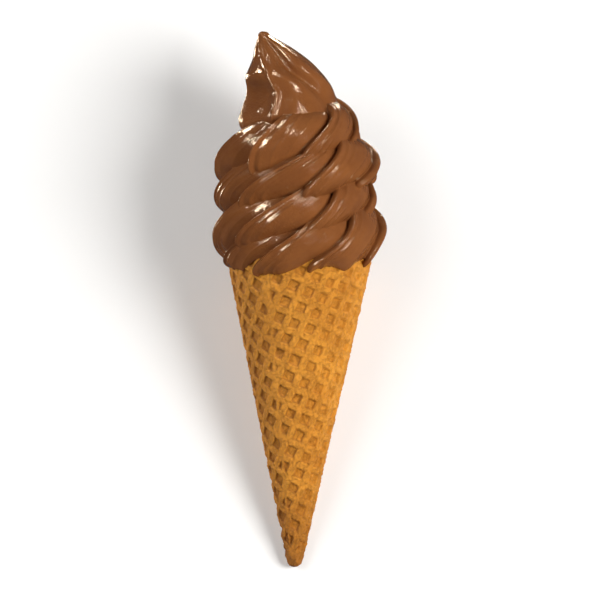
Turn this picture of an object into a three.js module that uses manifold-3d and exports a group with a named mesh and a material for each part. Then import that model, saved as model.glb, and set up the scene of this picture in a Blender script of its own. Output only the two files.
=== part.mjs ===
// A soft serve cone: one long fluted strand of chocolate soft serve, coiled four times and drawn up to a
// leaning peak, on a rolled waffle cone that it fills.
// It can't stand, so it lies on its back: the cone's point and the lowest coil touch the ground.
// Every piece is worked out upright first: Z is the cone's axis, Z = 0 is just under the rim, and the side
// that shows faces -Y. Angles round the axis are in degrees from that side, and grow towards +X.
// All sizes are in millimetres.
import * as THREE from 'three';
import { mergeVertices } from 'three/addons/utils/BufferGeometryUtils.js';
import Module from 'manifold-3d';

// The waffle cone.
const SIDE_RADIUS = 26.9; // outside, at Z = 0
const FLARE = Math.atan(0.2126); // the side's slope off the axis
const CONE_LENGTH = 114.7; // Z = 0 to the point
const RIM_HEIGHT = 3;
const POINT_RADIUS = 3.1; // the rounded point
const POINT_CENTRE = POINT_RADIUS - CONE_LENGTH; // height of its centre
const WALL = 2.7; // two layers of rolled wafer
const ROLL_STEP = 0.9; // height of the rolled sheet's outer edge
const ROLL_EDGE = 152; // angle of that edge, on the side away from the shown one
const GRID_PITCH = 6.48; // the waffle iron's squares
const GRID_TURN = 66.5; // degrees by which the grid is turned on the flat sheet
const GRID_START = [0.046, -0.201]; // where its rows start, in pitches from the sheet's own apex
const POCKET_MOUTH = 4.3; // side of a pocket at the surface
const POCKET_FLOOR = 2.9;
const POCKET_DEPTH = 0.95;
const PLAIN_POINT = 27; // no pockets nearer than this to the sheet's own apex

// The strand: its path, by quarter turns from QUARTERS_FROM. Height of its middle above the rim, outer
// radius of the coil, half of the strand's height.
const QUARTERS_FROM = -270;
const COIL_HEIGHT = [
  -6.5, 2.4, 4.6, 7.4, 14.4, 12.2, 13.2, 19.4, 26.6, 27.5, 28.2, 34.0, 39.2, 40.6, 40.4,
  46.3, 52.8, 56.4, 57.4, 60.0,
];
const COIL_RADIUS = [
  19.0, 28.6, 29.6, 32.4, 33.8, 32.6, 33.3, 32.0, 31.0, 31.2, 32.5, 31.8, 32.2, 31.6, 32.6,
  29.4, 24.2, 21.5, 18.0, 9.0,
];
const STRAND_HALF = [
  6.0, 6.4, 5.6, 9.0, 11.4, 11.0, 10.4, 10.0, 9.8, 9.8, 9.4, 9.8, 9.2, 9.2, 8.9,
  9.2, 9.6, 8.8, 7.2, 5.0,
];
const STRAND_ASPECT = 1.05; // depth over height
const SAG = 0.26; // how far the outer half of the strand hangs

// The ribs: soft folds that run up across the strand. A seam is the low line between two of them: its angle
// at the strand's middle, how far it slants to the strand's top or bottom, and its curve, in degrees.
const USUAL_SEAM = [29, 6];
const SHOWN_SEAMS = [
  [[-18, 30, 2], [31, 26, -9]],
  [[323, 34, 18], [379, 21, -6]],
  [[687, 38, 20], [736, 21, 2]],
  [[1046, 9, 6], [1091, 20, 9]],
]; // each coil shows two
const RIBS_BEHIND = 6; // spacings from one coil's second seam round to the next coil's first
const FIRST_RIBS = 4;
const LAST_RIBS = 5;
const RIB_SPACING = 50;
const RIB_RELIEF = 3.6; // seam to crest
const RIB_CREST = 0.3; // how near its left seam a rib's crest lies
const RIB_LEAN = 5; // degrees by which a crest leans over that seam
const RIB_HOOK = 13; // degrees by which a rib's lower end turns back
// Ribs that differ from the others, by number: relief, and how far the lower end hangs.
const USUAL_RIB = [0.9, 0.8];
const UNEVEN_RIBS = new Map([
  [3, [0.8, 0]], [4, [1, 0.3]], [5, [1, 1.8]], [6, [0.7, 0.8]],
  [10, [1, 1.5]], [11, [1, 0.5]], [12, [1, 1]], [13, [0.6, 0.8]],
  [17, [0.9, 0.5]], [18, [1, 1]], [19, [1, 1.5]], [20, [0.6, 0.8]],
  [24, [1.1, 1]], [25, [1.25, 3.2]], [26, [1, 0.5]], [27, [0.6, 0.8]],
]);

// The peak, from inside the top coil to the nub that breaks off last: height, lean to the left, radius.
const PEAK = [
  [40, 0, 12], [48, -0.4, 17], [51.8, -1.4, 19.8], [55.6, -2.1, 20.2], [60.2, -2.6, 18.6], [64.8, -3.2, 17],
  [70.1, -4.8, 16], [73.9, -5.9, 14], [78.5, -7.5, 10.7], [83.1, -10.4, 7], [86.1, -12.9, 4],
  [87.6, -14.3, 2.4], [88.8, -14.5, 1.7], [89.2, -14.5, 0.8],
];
const PEAK_SEAMS_LOW = [-150, -100, -20, 48, 140, 185]; // at the foot of the peak
const PEAK_SEAMS_HIGH = [-160, -115, -43, -7, 110, 160]; // near its tip
const PEAK_TURN = [60, 79]; // heights between which the seams swing over
const PEAK_RELIEF = 0.26; // of the radius
const SHELF_HEIGHT = 70.3; // the left rib of the peak ends here in a small overhang
const SHELF_DEPTH = 2.6;
const SHELF_ANGLE = -48;
const SHELF_SPREAD = 26;

// Where the first coil's lower edge hangs further down over the rim: angle, depth, width.
const LOW_EDGES = [[-48, 3.4, 24], [-10, 3.6, 20], [12, 1.5, 9], [40, 3.8, 15], [60, 2, 9]];

// The filling, from inside the cone up through the coils: height and radius.
const FILLING = [
  [2, 24.5], [3.8, 28.3], [5, 28], [10, 25.5], [20, 25.6], [34, 24], [45, 21.5], [53, 17], [57, 9],
];
const CLEARANCE = 0.3; // between soft serve and wafer

// How it lies: its weight flattens it a little where it rests.
const SWIRL_FLAT = 0.8; // depth of the flat under the lowest coil
const POINT_FLAT = 0.15; // and under the cone's point

// Fineness of the facets.
const RIB_STEPS = 4;
const STRAND_STEPS = 16;
const PEAK_ROWS = 13;
const PEAK_RIB_STEPS = 4;
const CONE_SIDES = 14;

const wasm = await Module();
wasm.setup();
const { lerp, smoothstep, clamp, degToRad } = THREE.MathUtils;

// --- Solids and surfaces ---------------------------------------------------------------------------

function solidOf(geometry) {
  const bare = geometry.clone();
  bare.deleteAttribute('normal');
  bare.deleteAttribute('uv');
  const merged = mergeVertices(bare, 1e-5);
  return new wasm.Manifold(new wasm.Mesh({
    numProp: 3,
    vertProperties: new Float32Array(merged.attributes.position.array),
    triVerts: new Uint32Array(merged.index.array),
  }));
}

function geometryOf(solid) {
  const { numProp, vertProperties, triVerts } = solid.getMesh();
  const positions = new Float32Array(vertProperties.length / numProp * 3);
  for (let i = 0; i < positions.length; i++) {
    positions[i] = vertProperties[Math.floor(i / 3) * numProp + i % 3];
  }
  return new THREE.BufferGeometry()
    .setAttribute('position', new THREE.BufferAttribute(positions, 3))
    .setIndex(new THREE.BufferAttribute(new Uint32Array(triVerts), 1));
}

// A closed surface over rows of points, each row a ring, with a fan over the first and the last ring.
function ringSurface(rows) {
  const sides = rows[0].length;
  const points = rows.flat();
  const faces = [];
  for (let r = 0; r + 1 < rows.length; r++) {
    for (let s = 0; s < sides; s++) {
      const a = r * sides + s;
      const b = r * sides + (s + 1) % sides;
      faces.push(a, b, b + sides, a, b + sides, a + sides);
    }
  }
  for (const [ring, flip] of [[0, true], [rows.length - 1, false]]) {
    const middle = points.length;
    points.push(rows[ring].reduce((sum, p) => sum.add(p), new THREE.Vector3()).divideScalar(sides));
    for (let s = 0; s < sides; s++) {
      const a = ring * sides + s;
      const b = ring * sides + (s + 1) % sides;
      faces.push(middle, flip ? b : a, flip ? a : b);
    }
  }
  return new THREE.BufferGeometry().setFromPoints(points).setIndex(faces);
}

const ringSolid = (rows) => solidOf(ringSurface(rows));

// The point at an angle round the axis, a distance from it and a height.
function around(degrees, radius, height) {
  const angle = degToRad(degrees);
  return new THREE.Vector3(radius * Math.sin(angle), -radius * Math.cos(angle), height);
}

// A smooth curve through values at given places: cubic pieces whose slopes are those of the neighbours.
function smoothThrough(places, values) {
  const last = places.length - 1;
  const slope = (i) => {
    const a = Math.max(i - 1, 0);
    const b = Math.min(i + 1, last);
    return (values[b] - values[a]) / (places[b] - places[a]);
  };
  return (x) => {
    let i = 0;
    while (i < last - 1 && x > places[i + 1]) i++;
    const width = places[i + 1] - places[i];
    const t = clamp((x - places[i]) / width, 0, 1);
    const rise = t * t * (3 - 2 * t);
    const lead = t * (1 - t) * (1 - t) * width * slope(i);
    const tail = t * t * (1 - t) * width * slope(i + 1);
    return lerp(values[i], values[i + 1], rise) + lead - tail;
  };
}

// --- Soft serve ------------------------------------------------------------------------------------

const quarterTurns = COIL_HEIGHT.map((_, i) => QUARTERS_FROM + 90 * i);
const coilHeight = smoothThrough(quarterTurns, COIL_HEIGHT);
const coilRadius = smoothThrough(quarterTurns, COIL_RADIUS);
const strandHalf = smoothThrough(quarterTurns, STRAND_HALF);

// All seams along the strand, from the first buried rib to the last one under the peak.
function allSeams() {
  const first = SHOWN_SEAMS[0][0][0];
  const rows = [];
  for (let i = FIRST_RIBS; i > 0; i--) rows.push([first - i * RIB_SPACING, ...USUAL_SEAM]);
  SHOWN_SEAMS.forEach(([left, right], coil) => {
    rows.push(left, right);
    const next = SHOWN_SEAMS[coil + 1]?.[0][0];
    for (let i = 1; next && i < RIBS_BEHIND; i++) {
      rows.push([lerp(right[0], next, i / RIBS_BEHIND), ...USUAL_SEAM]);
    }
  });
  const end = rows.at(-1)[0];
  for (let i = 1; i <= LAST_RIBS; i++) rows.push([end + i * RIB_SPACING, ...USUAL_SEAM]);
  return rows;
}

const seams = allSeams();

// Height of a rib's skin, 0 at its seams and 1 at its crest: a quick rise over its left seam, a slow fall
// to its right one.
function ribRise(q) {
  const up = Math.sin(Math.PI / 2 * Math.min(q / RIB_CREST, 1));
  return up - clamp((q - RIB_CREST) / (1 - RIB_CREST), 0, 1) ** 1.5;
}

// How much further the strand's lower edge hangs at an angle.
function lowEdge(angle) {
  const edges = LOW_EDGES.map(([at, depth, width]) => depth * Math.exp(-(((angle - at) / width) ** 2)));
  return edges.reduce((sum, depth) => sum + depth);
}

// One slanted ring of the strand: rib number and place across it, 0 at its left seam and 1 at its right.
function strandRing(rib, q) {
  const next = seams[rib + 1] ?? seams[rib];
  const [seam, slant, curve] = seams[rib].map((value, i) => lerp(value, next[i], q * q));
  const [relief, hang] = UNEVEN_RIBS.get(rib) ?? USUAL_RIB;
  const rise = ribRise(q);
  const ring = [];
  for (let s = 0; s < STRAND_STEPS; s++) {
    const psi = Math.PI - 2 * Math.PI * s / STRAND_STEPS;
    const up = Math.sin(psi);
    const out = Math.cos(psi);
    const shown = (0.5 + 0.5 * out) ** 0.6;
    const lean = RIB_LEAN * rise * (1 - q) ** 1.5 * shown;
    const hook = RIB_HOOK * clamp(-2 * up - 1, 0, 1) ** 2;
    const angle = seam + slant * up + curve * up * up - lean + hook;
    const half = strandHalf(angle);
    const depth = half * STRAND_ASPECT;
    const swell = RIB_RELIEF * (rise * relief - 0.6) * shown;
    const reach = (depth + swell) * out;
    const middle = coilRadius(angle) - depth - 0.4 * RIB_RELIEF;
    const sag = SAG * (0.6 * depth - Math.max(reach, 0));
    const drop = (hang * rise + lowEdge(angle)) * Math.max(-up, 0) * shown;
    const height = coilHeight(angle) + (half + 0.9 * swell) * up + sag - drop;
    ring.push(around(angle, middle + reach, height));
  }
  return ring;
}

// The strand in lengths of six ribs, each shorter than a turn, so that no length meets itself.
function strandSolids() {
  const ribs = seams.length - 1;
  const lengths = [];
  for (let first = 0; first < ribs; first += 6) {
    const end = Math.min(first + 6, ribs);
    const rows = [];
    for (let rib = first; rib < end; rib++) {
      for (let i = 0; i < RIB_STEPS; i++) rows.push(strandRing(rib, i / RIB_STEPS));
    }
    rows.push(strandRing(end, 0));
    lengths.push(ringSolid(rows));
  }
  return lengths;
}

const peakHeights = PEAK.map(([height]) => height);
const peakLean = smoothThrough(peakHeights, PEAK.map((row) => row[1]));
const peakRadius = smoothThrough(peakHeights, PEAK.map((row) => row[2]));

// One level ring of the peak: six ribs between seams that swing over as they near the tip.
function peakRing(height) {
  const turn = smoothstep(height, ...PEAK_TURN);
  const marks = PEAK_SEAMS_LOW.map((low, i) => lerp(low, PEAK_SEAMS_HIGH[i], turn));
  marks.push(marks[0] + 360);
  const hollow = clamp((SHELF_HEIGHT - height) / 2.5, 0, 1) * clamp((height - 50) / 8, 0, 1);
  const ring = [];
  for (let rib = 0; rib < PEAK_SEAMS_LOW.length; rib++) {
    for (let i = 0; i < PEAK_RIB_STEPS; i++) {
      const q = i / PEAK_RIB_STEPS;
      const angle = lerp(marks[rib], marks[rib + 1], q * q);
      const offShelf = (angle - SHELF_ANGLE) / SHELF_SPREAD;
      const radius = peakRadius(height) * (1 + PEAK_RELIEF * (ribRise(q) - 0.75))
        - SHELF_DEPTH * hollow * Math.exp(-offShelf * offShelf);
      const point = around(angle, radius, height);
      point.x += peakLean(height);
      ring.push(point);
    }
  }
  return ring;
}

function peakSolid() {
  const [low, high] = [peakHeights[0], peakHeights.at(-1)];
  const rows = [];
  for (let i = 0; i <= PEAK_ROWS; i++) rows.push(peakRing(lerp(low, high, i / PEAK_ROWS)));
  rows.splice(-1, 0, peakRing(peakHeights.at(-2)));
  return ringSolid(rows);
}

// --- Waffle cone -----------------------------------------------------------------------------------

const taper = Math.tan(FLARE);
const apexHeight = -SIDE_RADIUS / taper; // where its straight side would end
const coneRadius = (height) => (height - apexHeight) * taper;

// The rolled sheet climbs by its step in one turn, from under its outer edge to over it.
function rollHeight(angle) {
  const turn = THREE.MathUtils.euclideanModulo(angle - ROLL_EDGE, 360) / 360;
  return ROLL_STEP * (turn - 0.5);
}

// Angles of the cone's sides, with both sides of the rolled edge among them.
function sideAngles() {
  const angles = [ROLL_EDGE + 0.01];
  for (let i = 1; i < CONE_SIDES; i++) angles.push(ROLL_EDGE + 360 * i / CONE_SIDES);
  angles.push(ROLL_EDGE + 359.99 - 0.8);
  return angles;
}

const sides = sideAngles();

// A round body on the axis from [height, radius] rows; roll is how much of the rolled step it carries.
function roundSolid(profile, roll = 0) {
  return ringSolid(profile.map(([height, radius]) => sides.map((angle) => {
    const share = clamp(radius / SIDE_RADIUS, 0, 1);
    return around(angle, radius + roll * share * rollHeight(angle), height);
  })));
}

// The cone's straight side up to a height, grown outwards by grow, as flat sides that meet at its apex.
function taperSolid(top, grow) {
  const radius = coneRadius(top) + grow / Math.cos(FLARE);
  const apex = top - radius / taper;
  const rim = sides.map((angle) => around(angle, radius * (1 + rollHeight(angle) / SIDE_RADIUS), top));
  const ends = [new THREE.Vector3(0, 0, apex), new THREE.Vector3(0, 0, top)];
  const faces = rim.flatMap((_, s) => {
    const next = (s + 1) % rim.length;
    return [rim.length, next, s, rim.length + 1, s, next];
  });
  return solidOf(new THREE.BufferGeometry().setFromPoints([...rim, ...ends]).setIndex(faces));
}

// The whole cone, outside: the straight side, with the rounded point in place of its apex.
function coneSolid(top, grow) {
  const round = POINT_RADIUS + grow;
  const tangent = POINT_CENTRE - round * Math.sin(FLARE);
  const bends = [0.2, 0.55, 0.85, 1].map((part) => part * (Math.PI / 2 - FLARE));
  const point = bends.map((bend) => [POINT_CENTRE - round * Math.cos(bend), round * Math.sin(bend)]);
  point.push([POINT_CENTRE, 0.8 * round]);
  const apexBlock = new THREE.BoxGeometry(20, 20, 40).translate(0, 0, tangent - 20);
  return taperSolid(top, grow).subtract(solidOf(apexBlock)).add(roundSolid(point, 1));
}

// Square frustums on a straight grid of the flat sheet, which is then rolled into the cone.
function pocketSolids() {
  const cutters = [];
  const slant = (RIM_HEIGHT - apexHeight) / Math.cos(FLARE);
  const edge = degToRad(ROLL_EDGE) * Math.sin(FLARE); // of the flat sheet, either side of its shown line
  const otherEdge = edge - 2 * Math.PI * Math.sin(FLARE);
  const turn = degToRad(GRID_TURN);
  const reach = Math.ceil(slant / GRID_PITCH);
  const margin = 0.6 * POCKET_MOUTH;
  for (let i = -reach; i <= reach; i++) {
    for (let j = -reach; j <= reach; j++) {
      const u = (i + GRID_START[0]) * GRID_PITCH;
      const v = (j + GRID_START[1]) * GRID_PITCH;
      const across = u * Math.cos(turn) - v * Math.sin(turn);
      const along = u * Math.sin(turn) + v * Math.cos(turn);
      const distance = Math.hypot(across, along);
      const spread = Math.atan2(across, along);
      const fromEdge = Math.min(edge - spread, spread - otherEdge);
      if (distance > slant - margin || distance < PLAIN_POINT || fromEdge * distance < margin) continue;
      const angle = THREE.MathUtils.radToDeg(spread / Math.sin(FLARE));
      cutters.push(pocketSolid(angle, distance, turn + spread));
    }
  }
  return cutters;
}

// One pocket's cutter: a box narrowed to the pocket's floor, sunk in the sheet at a distance from its apex.
function pocketSolid(angle, distance, turn) {
  const cutter = new THREE.BoxGeometry(POCKET_MOUTH, 2 * POCKET_DEPTH, POCKET_MOUTH);
  const corners = cutter.attributes.position;
  for (let i = 0; i < corners.count; i++) {
    const side = POCKET_MOUTH + (POCKET_MOUTH - POCKET_FLOOR) * Math.sign(corners.getY(i));
    corners.setX(i, Math.sign(corners.getX(i)) * side / 2);
    corners.setZ(i, Math.sign(corners.getZ(i)) * side / 2);
  }
  const height = apexHeight + distance * Math.cos(FLARE);
  const share = coneRadius(height) / SIDE_RADIUS;
  const place = around(angle, coneRadius(height) + rollHeight(angle) * share, height);
  const outward = around(angle, Math.cos(FLARE), -Math.sin(FLARE));
  const round = around(angle + 90, 1, 0);
  const frame = new THREE.Matrix4().makeBasis(round, outward, round.clone().cross(outward));
  cutter.rotateY(turn);
  cutter.applyMatrix4(frame.setPosition(place));
  return solidOf(cutter);
}

// --- Assembly --------------------------------------------------------------------------------------

const join = (solids) => solids.reduce((whole, solid) => whole.add(solid));

const cavity = taperSolid(RIM_HEIGHT + 4, -WALL);
const wafer = coneSolid(RIM_HEIGHT, 0).subtract(cavity).subtract(join(pocketSolids()));
const mould = coneSolid(RIM_HEIGHT + CLEARANCE, CLEARANCE);
const plug = taperSolid(RIM_HEIGHT + 4, -WALL - CLEARANCE);
const swirl = join([roundSolid(FILLING), ...strandSolids(), peakSolid()]).subtract(mould).add(plug);

// How much higher than the axis through the cone's point centre the ground lies when the cone's axis is
// tilted up by an angle: the depth of the swirl's lowest point under that axis.
function depthBelow(solid, tilt) {
  const { numProp, vertProperties } = solid.getMesh();
  let depth = 0;
  for (let i = 0; i < vertProperties.length; i += numProp) {
    const along = vertProperties[i + 2] - POINT_CENTRE;
    depth = Math.max(depth, vertProperties[i + 1] * Math.cos(tilt) - along * Math.sin(tilt));
  }
  return depth;
}

// The tilt at which the coil and the point both meet the ground, each by its own flat.
function lyingTilt(solid) {
  const reach = POINT_RADIUS - POINT_FLAT;
  let [low, high] = [0, Math.PI / 4];
  for (let i = 0; i < 40; i++) {
    const tilt = (low + high) / 2;
    if (depthBelow(solid, tilt) - SWIRL_FLAT > reach) low = tilt;
    else high = tilt;
  }
  return low;
}

const tilt = lyingTilt(swirl);
const lying = new THREE.Group();
lying.rotation.x = tilt - Math.PI / 2;
lying.position.z = POINT_RADIUS - POINT_FLAT - POINT_CENTRE * Math.sin(tilt);
lying.updateMatrix();
const ground = new THREE.BoxGeometry(200, 400, 20).translate(0, 0, -10);
const groundSolid = solidOf(ground.applyMatrix4(lying.matrix.clone().invert()));

const softServe = new THREE.Mesh(geometryOf(swirl.subtract(groundSolid)), new THREE.MeshStandardMaterial({
  color: 0x84512c, roughness: 0.28, metalness: 0,
}));
softServe.name = 'soft_serve';
const waffleCone = new THREE.Mesh(geometryOf(wafer.subtract(groundSolid)), new THREE.MeshStandardMaterial({
  color: 0xc38a40, roughness: 0.75, metalness: 0,
}));
waffleCone.name = 'waffle_cone';
lying.add(softServe, waffleCone);

// The part's own frame: Z up from the ground, its origin under the middle of the whole.
const part = new THREE.Group();
part.add(lying);
const middle = new THREE.Box3().setFromObject(part, true).getCenter(new THREE.Vector3());
lying.position.x -= middle.x;
lying.position.y -= middle.y;

export default part;
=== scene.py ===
"""A chocolate soft serve cone, lying on its back: the looks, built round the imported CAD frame.

Both pieces are worked out upright, in millimetres: Z is the cone's axis, Z = 0 is just under its rim, and the
side that shows faces -Y. Angles round the axis are in degrees from that side and grow towards +X.
"""

import math

import bpy
import numpy as np
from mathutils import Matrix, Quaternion, Vector


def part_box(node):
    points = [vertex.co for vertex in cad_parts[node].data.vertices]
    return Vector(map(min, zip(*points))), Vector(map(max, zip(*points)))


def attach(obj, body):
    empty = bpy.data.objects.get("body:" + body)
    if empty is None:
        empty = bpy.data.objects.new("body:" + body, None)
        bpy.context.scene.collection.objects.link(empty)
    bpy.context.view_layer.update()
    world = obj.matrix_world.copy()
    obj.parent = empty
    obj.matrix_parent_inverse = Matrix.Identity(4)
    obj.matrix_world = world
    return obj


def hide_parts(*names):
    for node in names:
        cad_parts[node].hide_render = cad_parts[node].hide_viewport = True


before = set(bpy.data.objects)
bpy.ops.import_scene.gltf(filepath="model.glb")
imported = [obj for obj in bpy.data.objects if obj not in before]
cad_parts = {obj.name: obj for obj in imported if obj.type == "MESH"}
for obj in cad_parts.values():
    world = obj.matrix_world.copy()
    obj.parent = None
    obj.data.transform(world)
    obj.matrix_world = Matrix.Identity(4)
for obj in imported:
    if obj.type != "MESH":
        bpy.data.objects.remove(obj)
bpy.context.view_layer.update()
scene = bpy.context.scene


# --- Waffle cone -------------------------------------------------------------------------------------------
# A thin sweet wafer, baked flat between two irons that press square pockets into it, then rolled hot into a
# cone. It is two layers thick, its outer edge shows as a step down the back, and the pockets brown most.
# Painted shade darkens the pockets' walls, and the pockets' darkening is painted heaviest on the side
# away from the light.

SIDE_RADIUS = 26.9  # at Z = 0
FLARE = math.atan(0.2126)  # the side's angle to the axis
CONE_LENGTH = 114.7
RIM_HEIGHT = 3.0
POINT_RADIUS = 3.1
POINT_CENTRE = POINT_RADIUS - CONE_LENGTH
APEX_HEIGHT = -SIDE_RADIUS / math.tan(FLARE)
WALL = 2.7
RIM_ROUND = 0.7
ROLL_STEP = 0.9
ROLL_DROP = 0.98  # the share of the step that falls at the edge
ROLL_EDGE = 152.0
ROLL_EDGE_WIDTH = 1.2  # degrees over which the step rises

GRID_PITCH = 6.48
GRID_TURN = math.radians(66.5)
GRID_START = (0.046, -0.201)
POCKET_MOUTH = 2.0  # half of a pocket's side, at the surface and at its floor
POCKET_FLOOR = 1.45
POCKET_DEPTH = 0.9
POCKET_SQUARENESS = 7  # the power that rounds its corners
POCKET_UNEVENNESS = 0.06  # the share by which pockets differ in size
CREASE_DEPTH = 0.2  # of the crease that runs out of each corner
CREASE_WIDTH = 0.4
CREASE_ENDS = (1.5, 2.1, 2.5, 3.2)  # from a pocket's middle: starts, full, full, ends
SWELLING_HEIGHT = 0.1  # of the swelling round each pocket
SWELLING_PLACE = 2.5
SWELLING_WIDTH = 0.38
GRID_WARP = 0.28  # how far the grid strays, and over what length
GRID_WARP_LENGTH = 26
CRUMBLE = ((0.075, 1.5, 8, 60), (0.08, 5, 9, 28))  # unevenness: height, length, seed and waves
PLAIN_POINT = 16.0  # the sheet is plain nearer than this to its own apex
PRINT_FADE = 6.0  # the length over which the print comes in
SHADED_SIDE = -72  # where painted shade darkens the pockets most: the side away from the light
LEAST_SIDE_SHADE = 0.12  # the share of that painted shade on the lit side

LYING_TILT = math.radians(12.9974)  # of the cone's axis above the ground
AXIS_ASIDE = 0.366  # how far to the right of the frame's middle the axis lies
POINT_FLAT = 0.15  # how much of the point is worn flat where it rests

WAFER_COLUMNS = 340
WAFER_ROWS = 246
CROWDING = 0.25  # how much closer together the columns stand in front than behind
PLAIN_COLUMNS = 96  # of the plain wafer, which only makes room in the soft serve
PLAIN_ROWS = 12


def lay_down(upright):
    """Turns upright millimetres into the lying cone's metres: the axis swings down to LYING_TILT above the
    ground and moves AXIS_ASIDE, and the point's round end touches the near side of the CAD cone's box."""
    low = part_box("waffle_cone")[0]
    cos, sin = math.cos(LYING_TILT), math.sin(LYING_TILT)
    x, y, z = np.moveaxis(np.asarray(upright, float), -1, 0)
    along = y * sin + (z - POINT_CENTRE) * cos
    above = -y * cos + (z - POINT_CENTRE) * sin
    lying = np.stack([x + AXIS_ASIDE, along + POINT_RADIUS, above + POINT_RADIUS - POINT_FLAT], -1) / 1000
    lying[..., 1] += low.y
    lying[..., 2] = np.maximum(lying[..., 2], 0)
    return lying


def around(degrees, radius, height):
    """The point at an angle round the axis, a distance from it and a height."""
    angle = np.radians(degrees)
    return np.stack(np.broadcast_arrays(radius * np.sin(angle), -radius * np.cos(angle), height), -1)


def ring_surface(rings):
    """Corners and triangles of a closed surface over rings of points: two triangles between each pair of
    neighbours on neighbouring rings, and a fan from the middle of the first and of the last ring."""
    count, sides, _ = rings.shape
    ring, side = np.arange(count - 1)[:, None] * sides, np.arange(sides)
    after = (side + 1) % sides
    a, b = ring + side, ring + after
    c, d = b + sides, a + sides
    first, last = count * sides, count * sides + 1
    end = (count - 1) * sides
    faces = np.concatenate(
        [
            np.stack([a, b, c], -1).reshape(-1, 3),
            np.stack([a, c, d], -1).reshape(-1, 3),
            np.stack([np.full(sides, first), after, side], -1),
            np.stack([np.full(sides, last), end + side, end + after], -1),
        ]
    )
    middles = np.stack([rings[0].mean(0), rings[-1].mean(0)])
    return np.concatenate([rings.reshape(-1, 3), middles]), faces


def piece(name, points, faces):
    """A smooth-shaded mesh object at the origin, from corners and triangles."""
    mesh = bpy.data.meshes.new(name)
    mesh.from_pydata(points, [], faces)
    mesh.update()
    mesh.shade_smooth()
    thing = bpy.data.objects.new(name, mesh)
    scene.collection.objects.link(thing)
    return thing


def ripples(u, v, size, seed, stretch=1.0, count=28):
    """Smooth unevenness of about unit height: the sum of waves whose lengths lie round `size`, in seeded
    directions over u and v, drawn out along v by `stretch`."""
    draw = np.random.default_rng(seed)
    total = 0
    for _ in range(count):
        turn, start = draw.uniform(0, 2 * np.pi, 2)
        steps = 2 * np.pi / (size * draw.uniform(0.7, 1.6))
        total = total + np.sin(steps * (u * np.cos(turn) + v / stretch * np.sin(turn)) + start)
    return total / np.sqrt(count / 2)


def ramp(x, low, high):
    """0 below low, 1 above high, and a smooth rise between them."""
    t = np.clip((x - low) / (high - low), 0, 1)
    return t * t * (3 - 2 * t)


def wafer_profile(fine):
    """Height and radius of each row, up the outside, over the rim and down the inside: an arc of the point,
    the straight side, the rounded rim and the plain inner wall."""
    point_rows, side_rows, rim_rows, inner_rows = (14, WAFER_ROWS, 12, 8) if fine else (6, PLAIN_ROWS, 5, 8)
    first_bend = 0.02
    inner_end = APEX_HEIGHT + 1.1 * WALL / math.sin(FLARE)
    bend = np.linspace(first_bend, math.pi / 2 - FLARE, point_rows)
    low, high = POINT_CENTRE - POINT_RADIUS * math.sin(FLARE), RIM_HEIGHT - RIM_ROUND
    side = np.linspace(low, high, side_rows)[1:]
    turn = np.linspace(0, math.pi, rim_rows)[1:-1]
    half = WALL / 2 / math.cos(FLARE)
    inner = np.linspace(high, inner_end, inner_rows)
    taper = math.tan(FLARE)
    point = POINT_CENTRE - POINT_RADIUS * np.cos(bend)
    height = np.concatenate([point, side, high + RIM_ROUND * np.sin(turn), inner])
    outer = (height - APEX_HEIGHT) * taper
    radius = np.concatenate(
        [
            POINT_RADIUS * np.sin(bend),
            outer[len(bend) : len(bend) + len(side)],
            outer[len(bend) + len(side) : -len(inner)] - half * (1 - np.cos(turn)),
            (inner - APEX_HEIGHT) * taper - 2 * half,
        ]
    )
    return height, radius


def rolled(degrees):
    """Height of the rolled sheet at an angle: it climbs by ROLL_STEP in one turn, and drops at its edge."""
    turn = np.mod(degrees - ROLL_EDGE, 360)
    return ROLL_STEP * (turn / 360 - 0.5 - ramp(turn, 360 - ROLL_EDGE_WIDTH, 360) * ROLL_DROP)


def pressed(angle, slant):
    """The irons' print at an angle round the cone and a distance from the sheet's apex: (depth, 0 on the
    ridges to 1 in the pockets). The flat sheet holds a square grid, turned and a little out of true. A
    pocket is a rounded square with a flat floor and sloping walls, a soft swelling runs round it, and
    creases run out of its corners."""
    spread = np.radians(angle) * math.sin(FLARE)
    across, along = slant * np.sin(spread), slant * np.cos(spread)
    across, along = (
        across + GRID_WARP * ripples(across, along, GRID_WARP_LENGTH, 3),
        along + GRID_WARP * ripples(across, along, GRID_WARP_LENGTH, 4),
    )
    u = (across * math.cos(GRID_TURN) + along * math.sin(GRID_TURN)) / GRID_PITCH - GRID_START[0]
    v = (along * math.cos(GRID_TURN) - across * math.sin(GRID_TURN)) / GRID_PITCH - GRID_START[1]
    column, row = np.round(u), np.round(v)
    u, v = np.abs(u - column) * GRID_PITCH, np.abs(v - row) * GRID_PITCH
    uneven = 1 + POCKET_UNEVENNESS * np.sin(column * 12.9 + row * 78.2)
    square = (u**POCKET_SQUARENESS + v**POCKET_SQUARENESS) ** (1 / POCKET_SQUARENESS) / uneven
    sunk = ramp(square, POCKET_MOUTH, POCKET_FLOOR)
    starts, deep, shallower, ends = CREASE_ENDS
    crease = np.exp(-(((u - v) / CREASE_WIDTH) ** 2))
    crease = crease * ramp(square, starts, deep) * ramp(square, ends, shallower)
    swelling = np.exp(-(((square - SWELLING_PLACE) / SWELLING_WIDTH) ** 2))
    printed = ramp(slant, PLAIN_POINT, PLAIN_POINT + PRINT_FADE) * ramp(np.abs(rolled(angle)), 0, 0.02)
    depth = POCKET_DEPTH * sunk + CREASE_DEPTH * crease - SWELLING_HEIGHT * swelling * (1 - crease)
    return depth * printed, np.clip(sunk + 0.25 * crease, 0, 1) * printed


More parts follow.
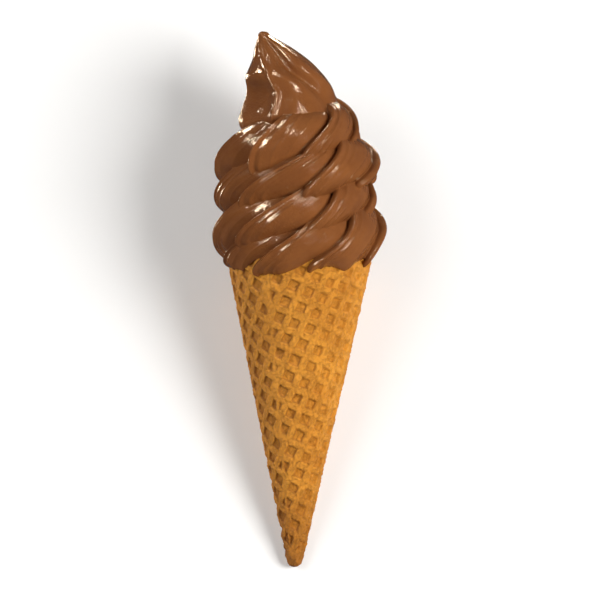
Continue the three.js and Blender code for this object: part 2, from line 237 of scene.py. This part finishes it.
def wafer_rings(grow=0.0, fine=True):
    """Rings of the wafer up its outside and down its inside: the profile turned round the axis, with the
    rolled step, and on the fine one the irons' print and a crumbly unevenness. grow thickens the wall. With
    them, for each point: how far it is sunk, its share of the rim's radius, and how much painted shade its
    pockets get for lying on the side away from the light."""
    height, radius = wafer_profile(fine)
    columns = WAFER_COLUMNS if fine else PLAIN_COLUMNS
    edge = ROLL_EDGE - np.linspace(0, ROLL_EDGE_WIDTH, 4)
    turn = 2 * np.pi * ((np.arange(columns) + 0.5) / columns - 0.5)
    even = np.degrees(turn - CROWDING * np.sin(turn))
    even = even[np.abs(even - ROLL_EDGE + ROLL_EDGE_WIDTH / 2) > 1]
    angle = np.sort(np.concatenate([edge, even]))
    angle, height, radius = np.broadcast_arrays(angle[None, :], height[:, None], radius[:, None])
    outside = np.arange(len(height))[:, None] <= height[:, 0].argmax()
    slant = radius / math.sin(FLARE)
    share = np.clip(radius / SIDE_RADIUS, 0, 1)
    radius = radius + rolled(angle) * share + np.where(outside, grow, -grow)
    depth = np.zeros(angle.shape)
    sunk = depth
    if fine:
        spread = np.radians(angle) * math.sin(FLARE)
        u, v = slant * np.sin(spread), slant * np.cos(spread)
        depth, sunk = pressed(angle, slant)
        rough = sum(high * ripples(u, v, long, seed, count=waves) for high, long, seed, waves in CRUMBLE)
        fade = np.where(outside, ramp(radius, 0.5, 3), 0) * ramp(height, RIM_HEIGHT - 0.1, RIM_HEIGHT - 1.2)
        depth, sunk = (depth + rough) * fade, sunk * fade
    radius = radius - depth * math.cos(FLARE)
    height = height + depth * math.sin(FLARE) + np.where(height > RIM_HEIGHT - RIM_ROUND, grow, 0)
    # Painted shade: the pockets darken most on the side away from the light.
    side_shade = LEAST_SIDE_SHADE + (1 - LEAST_SIDE_SHADE) * (0.5 + 0.5 * np.cos(np.radians(angle - SHADED_SIDE))) ** 1.5
    return around(angle, radius, height), sunk, share, side_shade


rings, sunk, share, side_shade = wafer_rings()
corners, faces = ring_surface(rings)
wafer = piece("wafer", lay_down(corners), faces)
# The last attribute is painted shade for the side away from the light.
for attribute, value in (("sunk", sunk), ("share", share), ("side_shade", side_shade)):
    whole = np.concatenate([value.ravel(), [value[0].mean(), value[-1].mean()]])
    wafer.data.attributes.new(attribute, "FLOAT", "POINT").data.foreach_set("value", whole)

GOLDEN = (0.76, 0.318, 0.040, 1)
TAN = (0.61, 0.237, 0.029, 1)
# Baked brown, and also the colour of the painted shade in the pocket walls and on the side away from the
# light.
POCKET_BROWN_AND_SHADE = (0.30, 0.10, 0.016, 1)
CRUMB_BROWN = (0.33, 0.12, 0.02, 1)
# How strongly each place has browned; on the pocket walls this is painted shade.
FLOOR_BROWNING = 0.42
WALL_SHADE = 2.6
WRINKLE_BROWNING = 0.2
SPECK_BROWNING = 0.42
POINT_BROWNING = 0.95
# How fine each layer of the wafer's grain is, in waves a metre.
PATCHES = 60
WRINKLES = 330
SPECKS = 420
CRUMB = 900
DUST = 2600
CRUMB_HEIGHT = 0.0005
WRINKLE_DEPTH = 0.32  # as shares of the crumb's height
DUST_HEIGHT = 0.4


class Recipe:
    """A new material and its nodes, each added by its kind and the values or links of its sockets."""

    def __init__(self, name):
        self.material = bpy.data.materials.new(name)
        self.material.use_nodes = True
        self.tree = self.material.node_tree
        self.shader = self.tree.nodes["Principled BSDF"]

    def join(self, socket, value):
        """Sets a socket to a plain value, or links another node's output to it."""
        if isinstance(value, bpy.types.NodeSocket):
            self.tree.links.new(value, socket)
        else:
            socket.default_value = value

    def add(self, kind, output=0, settings=None, **inputs):
        """Adds a node; inputs are named as its sockets are, with _ for a space and iN for the Nth one."""
        node = self.tree.nodes.new(kind)
        for key, value in (settings or {}).items():
            setattr(node, key, value)
        for key, value in inputs.items():
            number = key[1:]
            self.join(node.inputs[int(number) if number.isdigit() else key.replace("_", " ")], value)
        return node.outputs[output]

    def noise(self, vector, scale, detail=3.0, roughness=0.55):
        """A noise value round 0.5."""
        return self.add("ShaderNodeTexNoise", Vector=vector, Scale=scale, Detail=detail, Roughness=roughness)

    def spread(self, value, low, high, out_low=0.0, out_high=1.0):
        """Carries a value from one range to another, and holds it there."""
        return self.add("ShaderNodeMapRange", i0=value, i1=low, i2=high, i3=out_low, i4=out_high)

    def blend(self, share, first, second, way="MIX"):
        """One colour laid over another by a share."""
        settings = {"data_type": "RGBA", "blend_type": way}
        return self.add("ShaderNodeMix", 2, settings, i0=share, i6=first, i7=second)

    def sum(self, first, second, way="ADD"):
        """Two values added, or put together another way."""
        return self.add("ShaderNodeMath", settings={"operation": way}, i0=first, i1=second)


def baked_wafer():
    """Baked wafer: golden and tan patches, brown pockets with painted shade on their walls, the pockets'
    darkening painted heaviest on the side away from the light, wrinkles and specks, darker towards the thin
    point, with a fine crumb that stands out up to half a millimetre."""
    mix = Recipe("baked_wafer")
    place = mix.add("ShaderNodeTexCoord", 3)
    sunk = mix.add("ShaderNodeAttribute", 2, {"attribute_name": "sunk"})
    share = mix.add("ShaderNodeAttribute", 2, {"attribute_name": "share"})
    # Painted shade: how much the pockets darken on the side away from the light.
    side_shade = mix.add("ShaderNodeAttribute", 2, {"attribute_name": "side_shade"})
    patches = mix.spread(mix.noise(place, PATCHES, 4), 0.36, 0.66)
    crumb = mix.noise(place, CRUMB, 5, 0.65)
    specks = mix.spread(mix.noise(place, SPECKS, 4, 0.6), 0.55, 0.7)
    wrinkle = mix.spread(mix.noise(place, WRINKLES, 6, 0.7), 0.47, 0.53)
    wrinkle = mix.sum(mix.sum(wrinkle, mix.sum(1.0, wrinkle, "SUBTRACT"), "MULTIPLY"), 4.0, "MULTIPLY")
    # The pocket walls get painted shade, added to the floors' baked browning.
    wall = mix.sum(sunk, mix.sum(1.0, sunk, "SUBTRACT"), "MULTIPLY")
    colour = mix.blend(patches, GOLDEN, TAN)
    browned_and_shaded = mix.sum(mix.sum(sunk, FLOOR_BROWNING, "MULTIPLY"), mix.sum(wall, WALL_SHADE, "MULTIPLY"))
    colour = mix.blend(mix.sum(browned_and_shaded, side_shade, "MULTIPLY"), colour, POCKET_BROWN_AND_SHADE)
    colour = mix.blend(mix.sum(wrinkle, WRINKLE_BROWNING, "MULTIPLY"), colour, CRUMB_BROWN)
    colour = mix.blend(mix.spread(share, 0.36, 0.06, 0, POINT_BROWNING), colour, POCKET_BROWN_AND_SHADE)
    colour = mix.blend(mix.sum(specks, SPECK_BROWNING, "MULTIPLY"), colour, CRUMB_BROWN)
    mix.join(mix.shader.inputs["Base Color"], colour)
    mix.join(mix.shader.inputs["Roughness"], mix.spread(crumb, 0.3, 0.7, 0.5, 0.78))
    relief = mix.sum(crumb, mix.sum(mix.noise(place, DUST, 3), DUST_HEIGHT, "MULTIPLY"))
    relief = mix.sum(relief, mix.sum(wrinkle, WRINKLE_DEPTH, "MULTIPLY"), "SUBTRACT")
    bump = mix.add("ShaderNodeBump", Strength=0.85, Distance=CRUMB_HEIGHT, Height=relief)
    mix.join(mix.shader.inputs["Normal"], bump)
    mix.shader.inputs["Specular IOR Level"].default_value = 0.25
    return mix.material


wafer.data.materials.append(baked_wafer())
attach(wafer, "root")
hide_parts("waffle_cone")


# --- Soft serve --------------------------------------------------------------------------------------------
# Chocolate soft serve, drawn from a star nozzle as one fluted strand: it fills the cone, is coiled four times
# on the rim and is pulled off into a peak that leans. It is wet, and each rib hangs a little over the last.

# The strand at each quarter turn: height of its middle, outer radius of the coil, half of its own height.
QUARTERS_FROM = -270
COIL_HEIGHT = (
    -6.5, 2.4, 4.6, 7.4, 14.4, 12.2, 13.2, 19.4, 26.6, 27.5, 28.2, 34.0, 39.2, 40.6, 40.4,
    46.3, 52.8, 56.4, 57.4, 60.0,
)
COIL_RADIUS = (
    19.0, 28.6, 29.6, 32.4, 33.8, 32.6, 33.3, 32.0, 31.0, 31.2, 32.5, 31.8, 32.2, 31.6, 32.6,
    29.4, 24.2, 21.5, 18.0, 9.0,
)
STRAND_HALF = (
    6.0, 6.4, 5.6, 9.0, 11.4, 11.0, 10.4, 10.0, 9.8, 9.8, 9.4, 9.8, 9.2, 9.2, 8.9,
    9.2, 9.6, 8.8, 7.2, 5.0,
)
STRAND_ASPECT = 1.05  # its depth over its height
SAG = 0.26

# Seams, the low lines between ribs: angle at the strand's middle, slant to its top or bottom, and curve.
USUAL_SEAM = (29, 6)
SHOWN_SEAMS = np.array(
    [
        [(-18, 30, 2), (31, 26, -9)],
        [(323, 34, 18), (379, 21, -6)],
        [(687, 38, 20), (736, 21, 2)],
        [(1046, 9, 6), (1091, 20, 9)],
    ]
)
RIBS_BEHIND = 6  # in each coil
FIRST_RIBS = 4  # buried before the first coil
LAST_RIBS = 5  # under the peak
RIB_SPACING = 50
RIB_RELIEF = 3.6
RIB_CREST = 0.3  # how near its left seam a rib's crest lies
RIB_LEAN = 7
RIB_HOOK = 13  # degrees by which a rib's lower end turns back
RIB_SINK = 0.6  # the share of the relief by which the seams lie below the strand's own outline
BEDDING = 0.4  # the share of the relief by which the whole strand moves in
SLOW_UNEVENNESS = 0.25
# A rib's relief, as a share of RIB_RELIEF, and how far its lower end hangs.
USUAL_RIB = (0.9, 0.8)
UNEVEN_RIBS = {
    3: (0.8, 0), 4: (1, 1), 5: (1, 0), 6: (0.7, 1.4),
    10: (1, 1.5), 11: (1, 0.5), 12: (1, 1), 13: (0.6, 0.8),
    17: (0.9, 0.5), 18: (1, 1), 19: (1, 1.5), 20: (0.6, 0.8),
    24: (1.1, 1), 25: (1.25, 3.2), 26: (1, 0.5), 27: (0.6, 0.8),
}
# Where the first coil hangs further over the rim: angle, depth, width.
LOW_EDGES = ((-54, 4.8, 19), (-10, 3.6, 22), (42, 6, 13), (62, 4.5, 10))
# Fine ridges along each rib, from nicks in the nozzle: place across it, height, width, how far it strays.
FINE_RIDGES = (
    (0.070, 0.55, 0.026, 0),
    (0.135, -0.50, 0.026, 0.01),
    (0.205, 0.50, 0.020, 0.02),
    (0.340, 0.34, 0.020, 0.04),
    (0.600, 0.22, 0.026, 0.06),
)
PIT_DEPTH = 1.8  # of the pits at the upper ends of the seams

RIB_SAMPLES = 56
RIB_CROWDING = 1.4  # the power that crowds them on a rib's steep left side
STRAND_SAMPLES = 80
STRAND_CROWDING = 0.35  # and these on the strand's outer side
RIBS_A_LENGTH = 6  # how many ribs are made as one solid


def smooth_through(x, places, values):
    """A smooth curve through values at places: cubic pieces whose slopes are those of the neighbours."""
    places, values = np.asarray(places, float), np.asarray(values, float)
    at = np.arange(len(places))
    after, before = np.minimum(at + 1, at[-1]), np.maximum(at - 1, 0)
    slopes = (values[after] - values[before]) / (places[after] - places[before])
    i = np.clip(np.searchsorted(places, x) - 1, 0, len(places) - 2)
    width = places[i + 1] - places[i]
    t = np.clip((x - places[i]) / width, 0, 1)
    rise = t * t * (3 - 2 * t)
    bend = t * (1 - t) ** 2 * width * slopes[i] - t * t * (1 - t) * width * slopes[i + 1]
    return values[i] + (values[i + 1] - values[i]) * rise + bend


def all_seams():
    """The seams all along the strand: the buried ones before the first coil, two shown ones a coil with
    evenly spaced ones behind, and those that end under the peak."""
    lefts, rights = SHOWN_SEAMS[:, 0], SHOWN_SEAMS[:, 1]
    shares = np.arange(1, RIBS_BEHIND) / RIBS_BEHIND
    behind = rights[:-1, :1] + (lefts[1:, :1] - rights[:-1, :1]) * shares
    before = lefts[0, 0] - RIB_SPACING * np.arange(FIRST_RIBS, 0, -1)
    after = rights[-1, 0] + RIB_SPACING * np.arange(1, LAST_RIBS + 1)
    angles = np.concatenate([before, behind.ravel(), after])
    usual = np.stack([angles, *(np.full(len(angles), value) for value in USUAL_SEAM)], -1)
    seams = np.concatenate([usual, SHOWN_SEAMS.reshape(-1, 3)])
    return seams[np.argsort(seams[:, 0])]


SEAMS = all_seams()
QUARTERS = QUARTERS_FROM + 90 * np.arange(len(COIL_HEIGHT))


def rib_rise(share):
    """Height of a rib's skin at a share of the way across it, 0 at its seams and 1 at its crest: a quarter of
    a sine wave up the short left side, then a slow curve down the long right side, both over the root."""
    q = np.sqrt(share)
    up = np.sin(np.pi / 2 * np.clip(q / RIB_CREST, 0, 1))
    return up - np.clip((q - RIB_CREST) / (1 - RIB_CREST), 0, 1) ** 1.5


def strand_rings(first, end):
    """Slanted rings of the strand from one rib's left seam to another's, each at its share of the way across
    a rib. psi runs round the strand and slants the row, swells it by the rib's relief, sags it outside and
    hangs its lower end. Fine ridges, pits and slow unevenness are added to the swelling."""
    rib = np.repeat(np.arange(first, end), RIB_SAMPLES)
    share = np.tile((np.arange(RIB_SAMPLES) / RIB_SAMPLES) ** RIB_CROWDING, end - first)
    rib, share = np.append(rib, end), np.append(share, 0.0)
    seams = np.concatenate([SEAMS, SEAMS[-1:]])
    seam, slant, curve = (seams[rib] + (seams[rib + 1] - seams[rib]) * share[:, None]).T[:, :, None]
    relief, hang = np.array([UNEVEN_RIBS.get(number, USUAL_RIB) for number in rib]).T[:, :, None]
    share, rib = share[:, None], rib[:, None]
    rise = rib_rise(share)
    psi = np.pi - 2 * np.pi * np.arange(STRAND_SAMPLES)[None, :] / STRAND_SAMPLES
    psi = psi - STRAND_CROWDING * np.sin(psi)
    up, out = np.sin(psi), np.cos(psi)
    shown = (0.5 + 0.5 * out) ** 0.6
    lean = RIB_LEAN * rise * (1 - np.sqrt(share)) ** 1.5 * shown
    hook = RIB_HOOK * np.clip(-2 * up - 1, 0, 1) ** 2
    angle = seam + slant * up + curve * up * up - lean + hook
    half = smooth_through(angle, QUARTERS, STRAND_HALF)
    depth = half * STRAND_ASPECT
    fine = 0
    for number, (place, tall, wide, stray) in enumerate(FINE_RIDGES):
        strength = 0.8 + 0.4 * np.sin(2.3 * rib + 2 * number + 1.5 * psi)
        shift = stray * np.sin(1.7 * rib + number + 1.2 * psi)
        fine = fine + tall * strength * np.exp(-(((share - place - shift) / wide) ** 2))
    uneven = SLOW_UNEVENNESS * ripples(seam * 0.5, psi * 10, 9, 21, 2.5) * rise
    pit = PIT_DEPTH * ramp(up, 0.1, 0.7) * np.exp(-(np.minimum(share / 0.03, (1 - share) / 0.08) ** 2))
    swell = (RIB_RELIEF * (rise * relief - RIB_SINK) + fine + uneven - pit) * shown
    reach = (depth + swell) * out
    middle = smooth_through(angle, QUARTERS, COIL_RADIUS) - depth - BEDDING * RIB_RELIEF
    sag = SAG * (0.6 * depth - np.maximum(reach, 0))
    low_edge = sum(depth * np.exp(-(((angle - place) / width) ** 2)) for place, depth, width in LOW_EDGES)
    drop = (hang * rise + low_edge) * np.maximum(-up, 0) * shown
    height = smooth_through(angle, QUARTERS, COIL_HEIGHT) + (half + 0.9 * swell) * up + sag - drop
    return around(angle, middle + reach, height)


# The peak, from inside the top coil to the nub: height, lean to the left, radius.
PEAK = np.array(
    [
        (40, -0.6, 12.2), (48, -1.3, 17.2), (51.8, -2.4, 20), (55.6, -3.1, 20.5), (60.2, -3.5, 18.8),
        (64.8, -4.1, 17.2), (70.1, -5.6, 16.2), (73.9, -6.6, 14.2), (78.5, -8, 10.8), (83.1, -10.8, 7.1),
        (86.1, -13.1, 4), (87.6, -14.4, 2.4), (88.8, -14.5, 1.7), (89.2, -14.5, 0.8),
    ]
)
# The fold that runs down the front of the peak: height, angle, height of its lip, depth of the hollow on
# its left. The hollow ends above in a small shelf.
FRONT_FOLD = np.array(
    [
        (50, -23, 0.8, 1), (55.6, -21.2, 1.5, 2.4), (61.3, -18.3, 1.7, 3.3), (65.2, -16.7, 1.5, 3.3),
        (67.8, -20, 1.0, 2.7), (70.4, -23, 0.7, 1.0), (72.4, -24, 1.0, 0.1), (74.5, -27.4, 1.3, 0.7),
        (77, -35, 1.2, 1.5), (79.6, -41, 1.1, 1.5), (83.4, -46, 0.8, 0.9), (87.2, -51, 0.3, 0),
    ]
)
# The soft valley on its right: height, angle, depth, width.
VALLEY = np.array(
    [
        (56, 48, 0.2, 10), (63.2, 42.7, 1.2, 11), (69, 32, 2.8, 13), (73.9, 11, 3.8, 15),
        (77.7, 0, 3.3, 14), (84.2, -9, 1.8, 15), (87.6, -12, 0.2, 20),
    ]
)
LIP_WIDTH = 4.5  # of the front fold
CHEEK = (36, 15, 0.7)  # the swelling right of the valley: how far on, width, height
FOOT = (8, 61.5, 16, 4, 0.7)  # the one at the foot of the face: angle, height, width, tallness, rise
BACK_FOLDS_FROM = 95
BACK_FOLD_WIDTH = 42.5
BACK_FOLD_SWING = 25
BACK_RELIEF = 0.24
PEAK_ROWS = 130
PEAK_COLUMNS = 220
PEAK_CROWDING = 0.45  # of the columns, towards the front


def peak_rings():
    """Level rings of the peak: the radius by the height, less a hollow between the left side and the front
    fold, plus that fold's lip, less the soft valley, plus a swelling right of it and another at the foot of
    the face, and four ribs round the back that swing over as they near the tip."""
    low, high = PEAK[0, 0], PEAK[-1, 0]
    height = (low + (high - low) * np.linspace(0, 1, PEAK_ROWS) ** 0.9)[:, None]
    turn = 2 * np.pi * (np.arange(PEAK_COLUMNS) / PEAK_COLUMNS - 0.5)
    angle = np.degrees(turn - PEAK_CROWDING * np.sin(turn))[None, :]
    radius = smooth_through(height, PEAK[:, 0], PEAK[:, 2])
    fold, lip, hollow = (smooth_through(height, FRONT_FOLD[:, 0], FRONT_FOLD[:, i]) for i in (1, 2, 3))
    valley, depth, width = (smooth_through(height, VALLEY[:, 0], VALLEY[:, i]) for i in (1, 2, 3))
    aside = (fold - angle) / (fold + 95)
    back = ramp(np.abs(angle), 80, 110)
    swing = BACK_FOLDS_FROM + BACK_FOLD_SWING * ramp(height, 60, 79)
    rib = np.mod((np.mod(angle, 360) - swing) / BACK_FOLD_WIDTH, 1)
    radius = radius * (1 + BACK_RELIEF * (rib_rise(rib) - 0.75) * back)
    on, wide, cheek_rise = CHEEK
    cheek = np.exp(-(((angle - valley - on) / wide) ** 2)) * ramp(height, 60, 70) * ramp(height, 87, 82)
    foot_angle, foot_height, broad, tall, foot_rise = FOOT
    foot = np.exp(-(((angle - foot_angle) / broad) ** 2) - ((height - foot_height) / tall) ** 2)
    radius = (
        radius
        - hollow * ramp(aside, -0.02, 0.3) * ramp(aside, 1.05, 0.5)
        + lip * np.exp(-(np.abs((angle - fold) / LIP_WIDTH) ** 1.5))
        - depth * np.exp(-(((angle - valley) / width) ** 2))
        + cheek_rise * cheek
        + foot_rise * foot
    )
    points = around(angle, radius, height)
    points[..., 0] += smooth_through(height, PEAK[:, 0], PEAK[:, 1])
    return points


# The filling, from the cone's point up through the coils: height and radius.
FILLING_TOP = [(3.3, 28.3), (5, 28), (10, 25.5), (20, 24.5), (34, 24), (45, 21.5), (53, 17), (57, 9)]
WAFER_GAP = 0.08
TURNED_SIDES = 128


def filling_rings():
    """The filling turned round the axis: halfway into the wafer's wall below the rim, where the wafer will
    be cut out of it, and the middle of the swirl above."""
    below = np.linspace(APEX_HEIGHT + 14, RIM_HEIGHT - 0.2, 10)
    inside = (below - APEX_HEIGHT) * math.tan(FLARE) - WALL / 2
    height, radius = np.concatenate([np.stack([below, inside], -1), FILLING_TOP]).T
    angle = 360 * np.arange(TURNED_SIDES) / TURNED_SIDES
    return around(angle[None, :], radius[:, None], height[:, None])


def joined(solids, cutter):
    """All solids as one skin, with the cutter's room taken out of it."""
    whole, *others = solids
    for other, way in [(other, "UNION") for other in others] + [(cutter, "DIFFERENCE")]:
        step = whole.modifiers.new("join", "BOOLEAN")
        step.operation, step.solver, step.object = way, "MANIFOLD", other
    mesh = bpy.data.meshes.new_from_object(whole.evaluated_get(bpy.context.evaluated_depsgraph_get()))
    for used in (*solids, cutter):
        bpy.data.meshes.remove(used.data)
    return mesh


def read_mesh(mesh):
    """A mesh's corners, triangles and edges as arrays."""
    points = np.empty(len(mesh.vertices) * 3)
    mesh.vertices.foreach_get("co", points)
    mesh.calc_loop_triangles()
    triangles = np.empty(len(mesh.loop_triangles) * 3, np.int64)
    mesh.loop_triangles.foreach_get("vertices", triangles)
    edges = np.empty(len(mesh.edges) * 2, np.int64)
    mesh.edges.foreach_get("vertices", edges)
    return points.reshape(-1, 3), triangles.reshape(-1, 3), edges.reshape(-1, 2)


def outer_skin(points, triangles, edges):
    """Keeps the largest shell: each edge hands the lower of its ends' numbers to both until none changes."""
    number = np.arange(len(points))
    while True:
        lower = number.copy()
        least = number[edges].min(1)
        np.minimum.at(lower, edges[:, 0], least)
        np.minimum.at(lower, edges[:, 1], least)
        lower = lower[lower]
        if (lower == number).all():
            break
        number = lower
    keep = number == np.bincount(number).argmax()
    place = np.cumsum(keep) - 1
    return points[keep], place[triangles[keep[triangles[:, 0]]]], place[edges[keep[edges[:, 0]]]]


def softened(points, edges, passes, strength=0.5):
    """Eases the creases: every point moves part of the way to the middle of its neighbours, a few times."""
    ends = np.concatenate([edges, edges[:, ::-1]])
    share = np.bincount(ends[:, 0], minlength=len(points))[:, None]
    for _ in range(passes):
        sums = [np.bincount(ends[:, 0], along[ends[:, 1]], len(points)) for along in points.T]
        points = points + strength * (np.stack(sums, -1) / share - points)
    return points


def turned_out(name, rings):
    """A solid over rings, for joining."""
    return piece(name, *ring_surface(rings))


last = len(SEAMS) - 1
starts = range(0, last, RIBS_A_LENGTH)
lengths = [turned_out(f"length_{i}", strand_rings(i, min(i + RIBS_A_LENGTH, last))) for i in starts]
solids = [turned_out("filling", filling_rings()), *lengths, turned_out("peak", peak_rings())]
skin = joined(solids, turned_out("wafer_room", wafer_rings(WAFER_GAP, fine=False)[0]))
corners, faces, edges = outer_skin(*read_mesh(skin))
swirl = piece("swirl", lay_down(softened(corners, edges, 1)), faces)

CHOCOLATE = (0.222, 0.077, 0.022, 1)
CHOCOLATE_DEEP = (0.185, 0.062, 0.018, 1)
# Waves a metre of the streaks, the wetter patches, the ice crystals and the softer lumps under them.
STREAKS = 90
WET_PATCHES = 160
ICE = 1100
LUMPS = 350
LUMP_SHARE = 0.9
GRAIN_HEIGHT = 0.0004


def chocolate_soft_serve():
    """Chocolate soft serve: an even warm brown with slow streaks, wet, with fine ice crystals that break up
    its highlights."""
    mix = Recipe("chocolate_soft_serve")
    place = mix.add("ShaderNodeTexCoord", 3)
    streaks = mix.spread(mix.noise(place, STREAKS, 4), 0.38, 0.64)
    mix.join(mix.shader.inputs["Base Color"], mix.blend(streaks, CHOCOLATE, CHOCOLATE_DEEP))
    wet = mix.noise(place, WET_PATCHES, 3)
    mix.join(mix.shader.inputs["Roughness"], mix.spread(wet, 0.35, 0.65, 0.10, 0.19))
    mix.shader.inputs["Specular IOR Level"].default_value = 0.45
    grain = mix.sum(mix.noise(place, ICE, 2), mix.sum(mix.noise(place, LUMPS, 2), LUMP_SHARE, "MULTIPLY"))
    bump = mix.add("ShaderNodeBump", Strength=0.36, Distance=GRAIN_HEIGHT, Height=grain)
    mix.join(mix.shader.inputs["Normal"], bump)
    return mix.material


swirl.data.materials.append(chocolate_soft_serve())
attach(swirl, "root")
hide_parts("soft_serve")


# --- Ground, light and camera ------------------------------------------------------------------------------
# A plain white table that glows a little; soft lamps over the right and the left that shade the piece; small
# ones beyond its left and its peak, some of them lower than the table, that only draw the wet highlights;
# and a camera that looks down square to the cone's axis.

TABLE_HALF = 3.0
bpy.ops.mesh.primitive_grid_add(x_subdivisions=4, y_subdivisions=4, size=2 * TABLE_HALF)
table = bpy.context.object
table.name = "table"
TABLE_WHITE = (0.84, 0.84, 0.84, 1)
TABLE_GREY = (0.82, 0.82, 0.82, 1)
pale = Recipe("pale_table")
clouds = pale.noise(pale.add("ShaderNodeTexCoord", 3), 30)
pale.join(pale.shader.inputs["Base Color"], pale.blend(clouds, TABLE_WHITE, TABLE_GREY))
pale.shader.inputs["Roughness"].default_value = 0.8
pale.shader.inputs["Specular IOR Level"].default_value = 0.2
pale.shader.inputs["Emission Color"].default_value = (1, 1, 1, 1)
pale.shader.inputs["Emission Strength"].default_value = 0.14
table.data.materials.append(pale.material)
table.visible_glossy = False  # the table stays out of the wet swirl's reflections

SWIRL_MIDDLE = Vector((0, 0.05, 0.03))
SOFT_WHITE = (1, 0.99, 0.97)
SOFT_WARM = (1, 0.97, 0.93)
CREAM = (1, 0.79, 0.56)
# Each lamp's name, place, size, power in watts and colour.
SHADING_LAMPS = (
    ("right_key", (0.85, -0.1, 0.9), (0.6, 0.6), 17.8, SOFT_WHITE),
    ("left_fill", (-0.7, 0.1, 0.9), (0.8, 0.8), 6.0, SOFT_WHITE),
    ("left_edge", (-0.85, 0.45, 0.2), (0.5, 0.2), 1.8, SOFT_WARM),
)
HIGHLIGHT_LAMPS = (
    ("rib_strip", (-0.48, 0.79, -0.12), (0.30, 0.04), 11.0, CREAM),
    ("tip_spark", (-0.18, 0.77, 0.55), (0.10, 0.02), 3.0, CREAM),
    ("left_spark", (-0.66, 0.376, 0.605), (0.22, 0.025), 10.0, CREAM),
    ("right_spark", (0.333, 0.39, 0.786), (0.04, 0.02), 3.2, CREAM),
    ("left_low", (-0.50, 0.32, -0.66), (0.20, 0.06), 2.6, CREAM),
    ("top_low", (0.135, 0.79, -0.46), (0.20, 0.05), 5.0, CREAM),
)


def lamp(name, place, size, power, colour):
    """A soft rectangular lamp, aimed at the middle of the swirl."""
    light = bpy.data.lights.new(name, "AREA")
    light.shape = "RECTANGLE"
    light.size, light.size_y = size
    light.energy = power
    light.color = colour
    holder = bpy.data.objects.new(name, light)
    scene.collection.objects.link(holder)
    holder.location = place
    holder.rotation_euler = (SWIRL_MIDDLE - Vector(place)).to_track_quat("-Z", "Y").to_euler()
    return holder


for values in SHADING_LAMPS:
    lamp(*values).visible_glossy = False
for values in HIGHLIGHT_LAMPS:
    lamp(*values).visible_diffuse = False

world = bpy.data.worlds.new("studio")
scene.world = world
world.use_nodes = True
world.node_tree.nodes["Background"].inputs["Color"].default_value = (1, 1, 1, 1)
world.node_tree.nodes["Background"].inputs["Strength"].default_value = 0.055
scene.view_settings.view_transform = "Standard"

VIEW_WIDTH = 0.2286
VIEW_LENS = 250.0
VIEW_MIDDLE = (0.71, 0, -12.95)  # upright, on the axis plane
VIEW_ROLL = math.radians(0.81)

back = Vector((0, -math.sin(LYING_TILT), math.cos(LYING_TILT)))
camera = bpy.data.cameras.new("camera")
camera.lens = VIEW_LENS
camera.clip_start, camera.clip_end = 0.05, 20
eye = bpy.data.objects.new("camera", camera)
scene.collection.objects.link(eye)
eye.rotation_mode = "QUATERNION"
eye.location = Vector(lay_down(VIEW_MIDDLE)) + back * (VIEW_WIDTH * VIEW_LENS / camera.sensor_width)
eye.rotation_quaternion = (-back).to_track_quat("-Z", "Y") @ Quaternion((0, 0, 1), VIEW_ROLL)
scene.camera = eye
